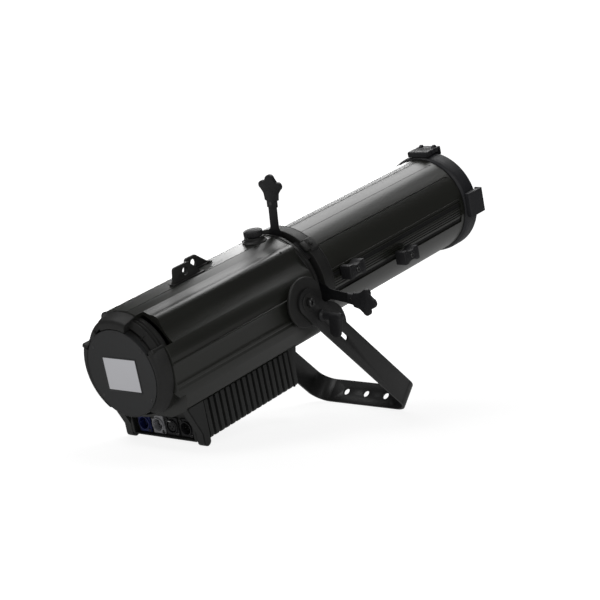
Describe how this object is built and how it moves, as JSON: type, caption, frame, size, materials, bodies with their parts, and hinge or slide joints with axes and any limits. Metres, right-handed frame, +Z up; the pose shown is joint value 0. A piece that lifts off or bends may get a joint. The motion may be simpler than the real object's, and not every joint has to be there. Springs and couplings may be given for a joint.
{
  "type": "ellipsoidal spotlight",
  "caption": "Black LED profile spotlight with finned driver box, zoom lens barrel, framing shutters and a strap yoke that also stands it on the floor",
  "frame": {"origin": "centre of the bounding box on the floor plane", "axes": "+X the way the beam points over the ground, +Y left, +Z up"},
  "size_m": [0.8893, 0.3942, 0.4728],
  "materials": {
    "housing_satin": "satin",
    "yoke_steel": "satin",
    "cast_black": "fine texture",
    "moulded_black": "matte",
    "fastener_steel": "blackened",
    "blade_steel": "blackened",
    "bare_aluminium": "machined",
    "lens_glass": "polished",
    "screen_face": "gloss",
    "circuit_board": "satin",
    "led_ceramic": "matte",
    "led_phosphor": "gloss",
    "socket_blue": "satin",
    "socket_grey": "satin"
  },
  "bodies": {
    "housing": {"housing_shell": "housing_satin", "rear_casting": "cast_black", "vent_rings": "cast_black", "display_bezel": "moulded_black", "touch_screen": "screen_face", "display_board": "circuit_board", "fan_frame": "moulded_black", "fan_screws": "fastener_steel", "heat_sink": "bare_aluminium", "led_board": "led_ceramic", "led_emitter": "led_phosphor", "collimator_lens": "lens_glass", "engine_bulkhead": "bare_aluminium", "condenser_mount": "moulded_black", "condenser_lens": "lens_glass", "gate_plate": "fastener_steel", "front_bezel": "cast_black", "gate_ring": "moulded_black", "gate_clamps": "cast_black", "barrel_collar": "cast_black", "lens_tube": "housing_satin", "front_ring": "moulded_black", "frame_claws": "moulded_black", "driver_box": "cast_black", "box_rear_frame": "cast_black", "rear_panel": "cast_black", "driver_board": "circuit_board", "box_screws": "fastener_steel", "power_inlet": "socket_blue", "power_outlet": "socket_grey", "dmx_output": "moulded_black", "dmx_input": "moulded_black", "panel_screws": "fastener_steel", "fuse_holder": "moulded_black", "safety_lugs": "cast_black", "knob_boss": "cast_black", "pivot_bosses": "cast_black", "friction_discs": "moulded_black", "pivot_bolts": "fastener_steel"},
    "yoke": {"yoke_strap": "yoke_steel"},
    "lever_right": {"lock_lever_right": "moulded_black"},
    "lever_left": {"lock_lever_left": "moulded_black"},
    "shutter_top": {"shutter_top_blade": "blade_steel", "shutter_top_grip": "moulded_black"},
    "shutter_right": {"shutter_right_blade": "blade_steel", "shutter_right_grip": "moulded_black"},
    "shutter_left": {"shutter_left_blade": "blade_steel", "shutter_left_grip": "moulded_black"},
    "shutter_bottom": {"shutter_bottom_blade": "blade_steel", "shutter_bottom_grip": "moulded_black"},
    "barrel_knob": {"top_knob": "moulded_black"},
    "zoom": {"zoom_carriage": "bare_aluminium", "zoom_lens": "lens_glass"},
    "zoom_grip": {"zoom_knob": "moulded_black"},
    "focus": {"focus_carriage": "bare_aluminium", "focus_lens": "lens_glass"},
    "focus_grip": {"focus_knob": "moulded_black"},
    "fan": {"fan_rotor": "moulded_black"},
    "latch": {"frame_latch": "moulded_black"},
    "dmx_release": {"dmx_latch": "fastener_steel"}
  },
  "joints": [
    {"name": "yoke_tilt", "type": "hinge", "parent": "housing", "child": "yoke", "pos_m": [-0.10008, 0, 0.2131], "axis": [0, 1, 0], "range_deg": [0, 100]},
    {"name": "lever_right_turn", "type": "hinge", "parent": "yoke", "child": "lever_right", "pos_m": [-0.06547, -0.12, 0.1893], "axis": [0, 1, 0], "range_deg": [0, 100]},
    {"name": "lever_left_turn", "type": "hinge", "parent": "yoke", "child": "lever_left", "pos_m": [-0.06547, 0.12, 0.1893], "axis": [0, 1, 0], "range_deg": [0, 100]},
    {"name": "shutter_top_slide", "type": "slide", "parent": "housing", "child": "shutter_top", "axis": [0.2838, 0.1149, -0.952], "range_m": [0, 0.04]},
    {"name": "shutter_right_slide", "type": "slide", "parent": "housing", "child": "shutter_right", "axis": [-0.0398, 0.9903, 0.1334], "range_m": [0, 0.04]},
    {"name": "shutter_left_slide", "type": "slide", "parent": "housing", "child": "shutter_left", "axis": [-0.0398, -0.9903, 0.1334], "range_m": [0, 0.04]},
    {"name": "shutter_bottom_slide", "type": "slide", "parent": "housing", "child": "shutter_bottom", "axis": [-0.2813, -0.1736, 0.9438], "range_m": [0, 0.04]},
    {"name": "top_knob_turn", "type": "hinge", "parent": "housing", "child": "barrel_knob", "pos_m": [-0.11469, 0, 0.3251], "axis": [-0.2857, 0, 0.9583], "range_deg": [0, 360]},
    {"name": "zoom_slide", "type": "slide", "parent": "housing", "child": "zoom", "axis": [0.9583, 0, 0.2857], "range_m": [-0.012, 0.05]},
    {"name": "zoom_knob_turn", "type": "hinge", "parent": "zoom", "child": "zoom_grip", "pos_m": [0.0273, -0.1, 0.26182], "axis": [0, -1, 0], "range_deg": [0, 360]},
    {"name": "focus_slide", "type": "slide", "parent": "housing", "child": "focus", "axis": [0.9583, 0, 0.2857], "range_m": [-0.04, 0.15]},
    {"name": "focus_knob_turn", "type": "hinge", "parent": "focus", "child": "focus_grip", "pos_m": [0.18072, -0.1, 0.27855], "axis": [0, -1, 0], "range_deg": [0, 360]},
    {"name": "fan_spin", "type": "hinge", "parent": "housing", "child": "fan", "pos_m": [-0.37765, 0, 0.13609], "axis": [0.9583, 0, 0.2857], "continuous": true},
    {"name": "latch_lift", "type": "hinge", "parent": "housing", "child": "latch", "pos_m": [0.36676, 0, 0.46027], "axis": [0, -1, 0], "range_deg": [0, 70]},
    {"name": "dmx_latch_press", "type": "slide", "parent": "housing", "child": "dmx_release", "axis": [0.9583, 0, 0.2857], "range_m": [0, 0.002], "stiffness_N_per_m": 400, "springref_m": -0.001}
  ]
}
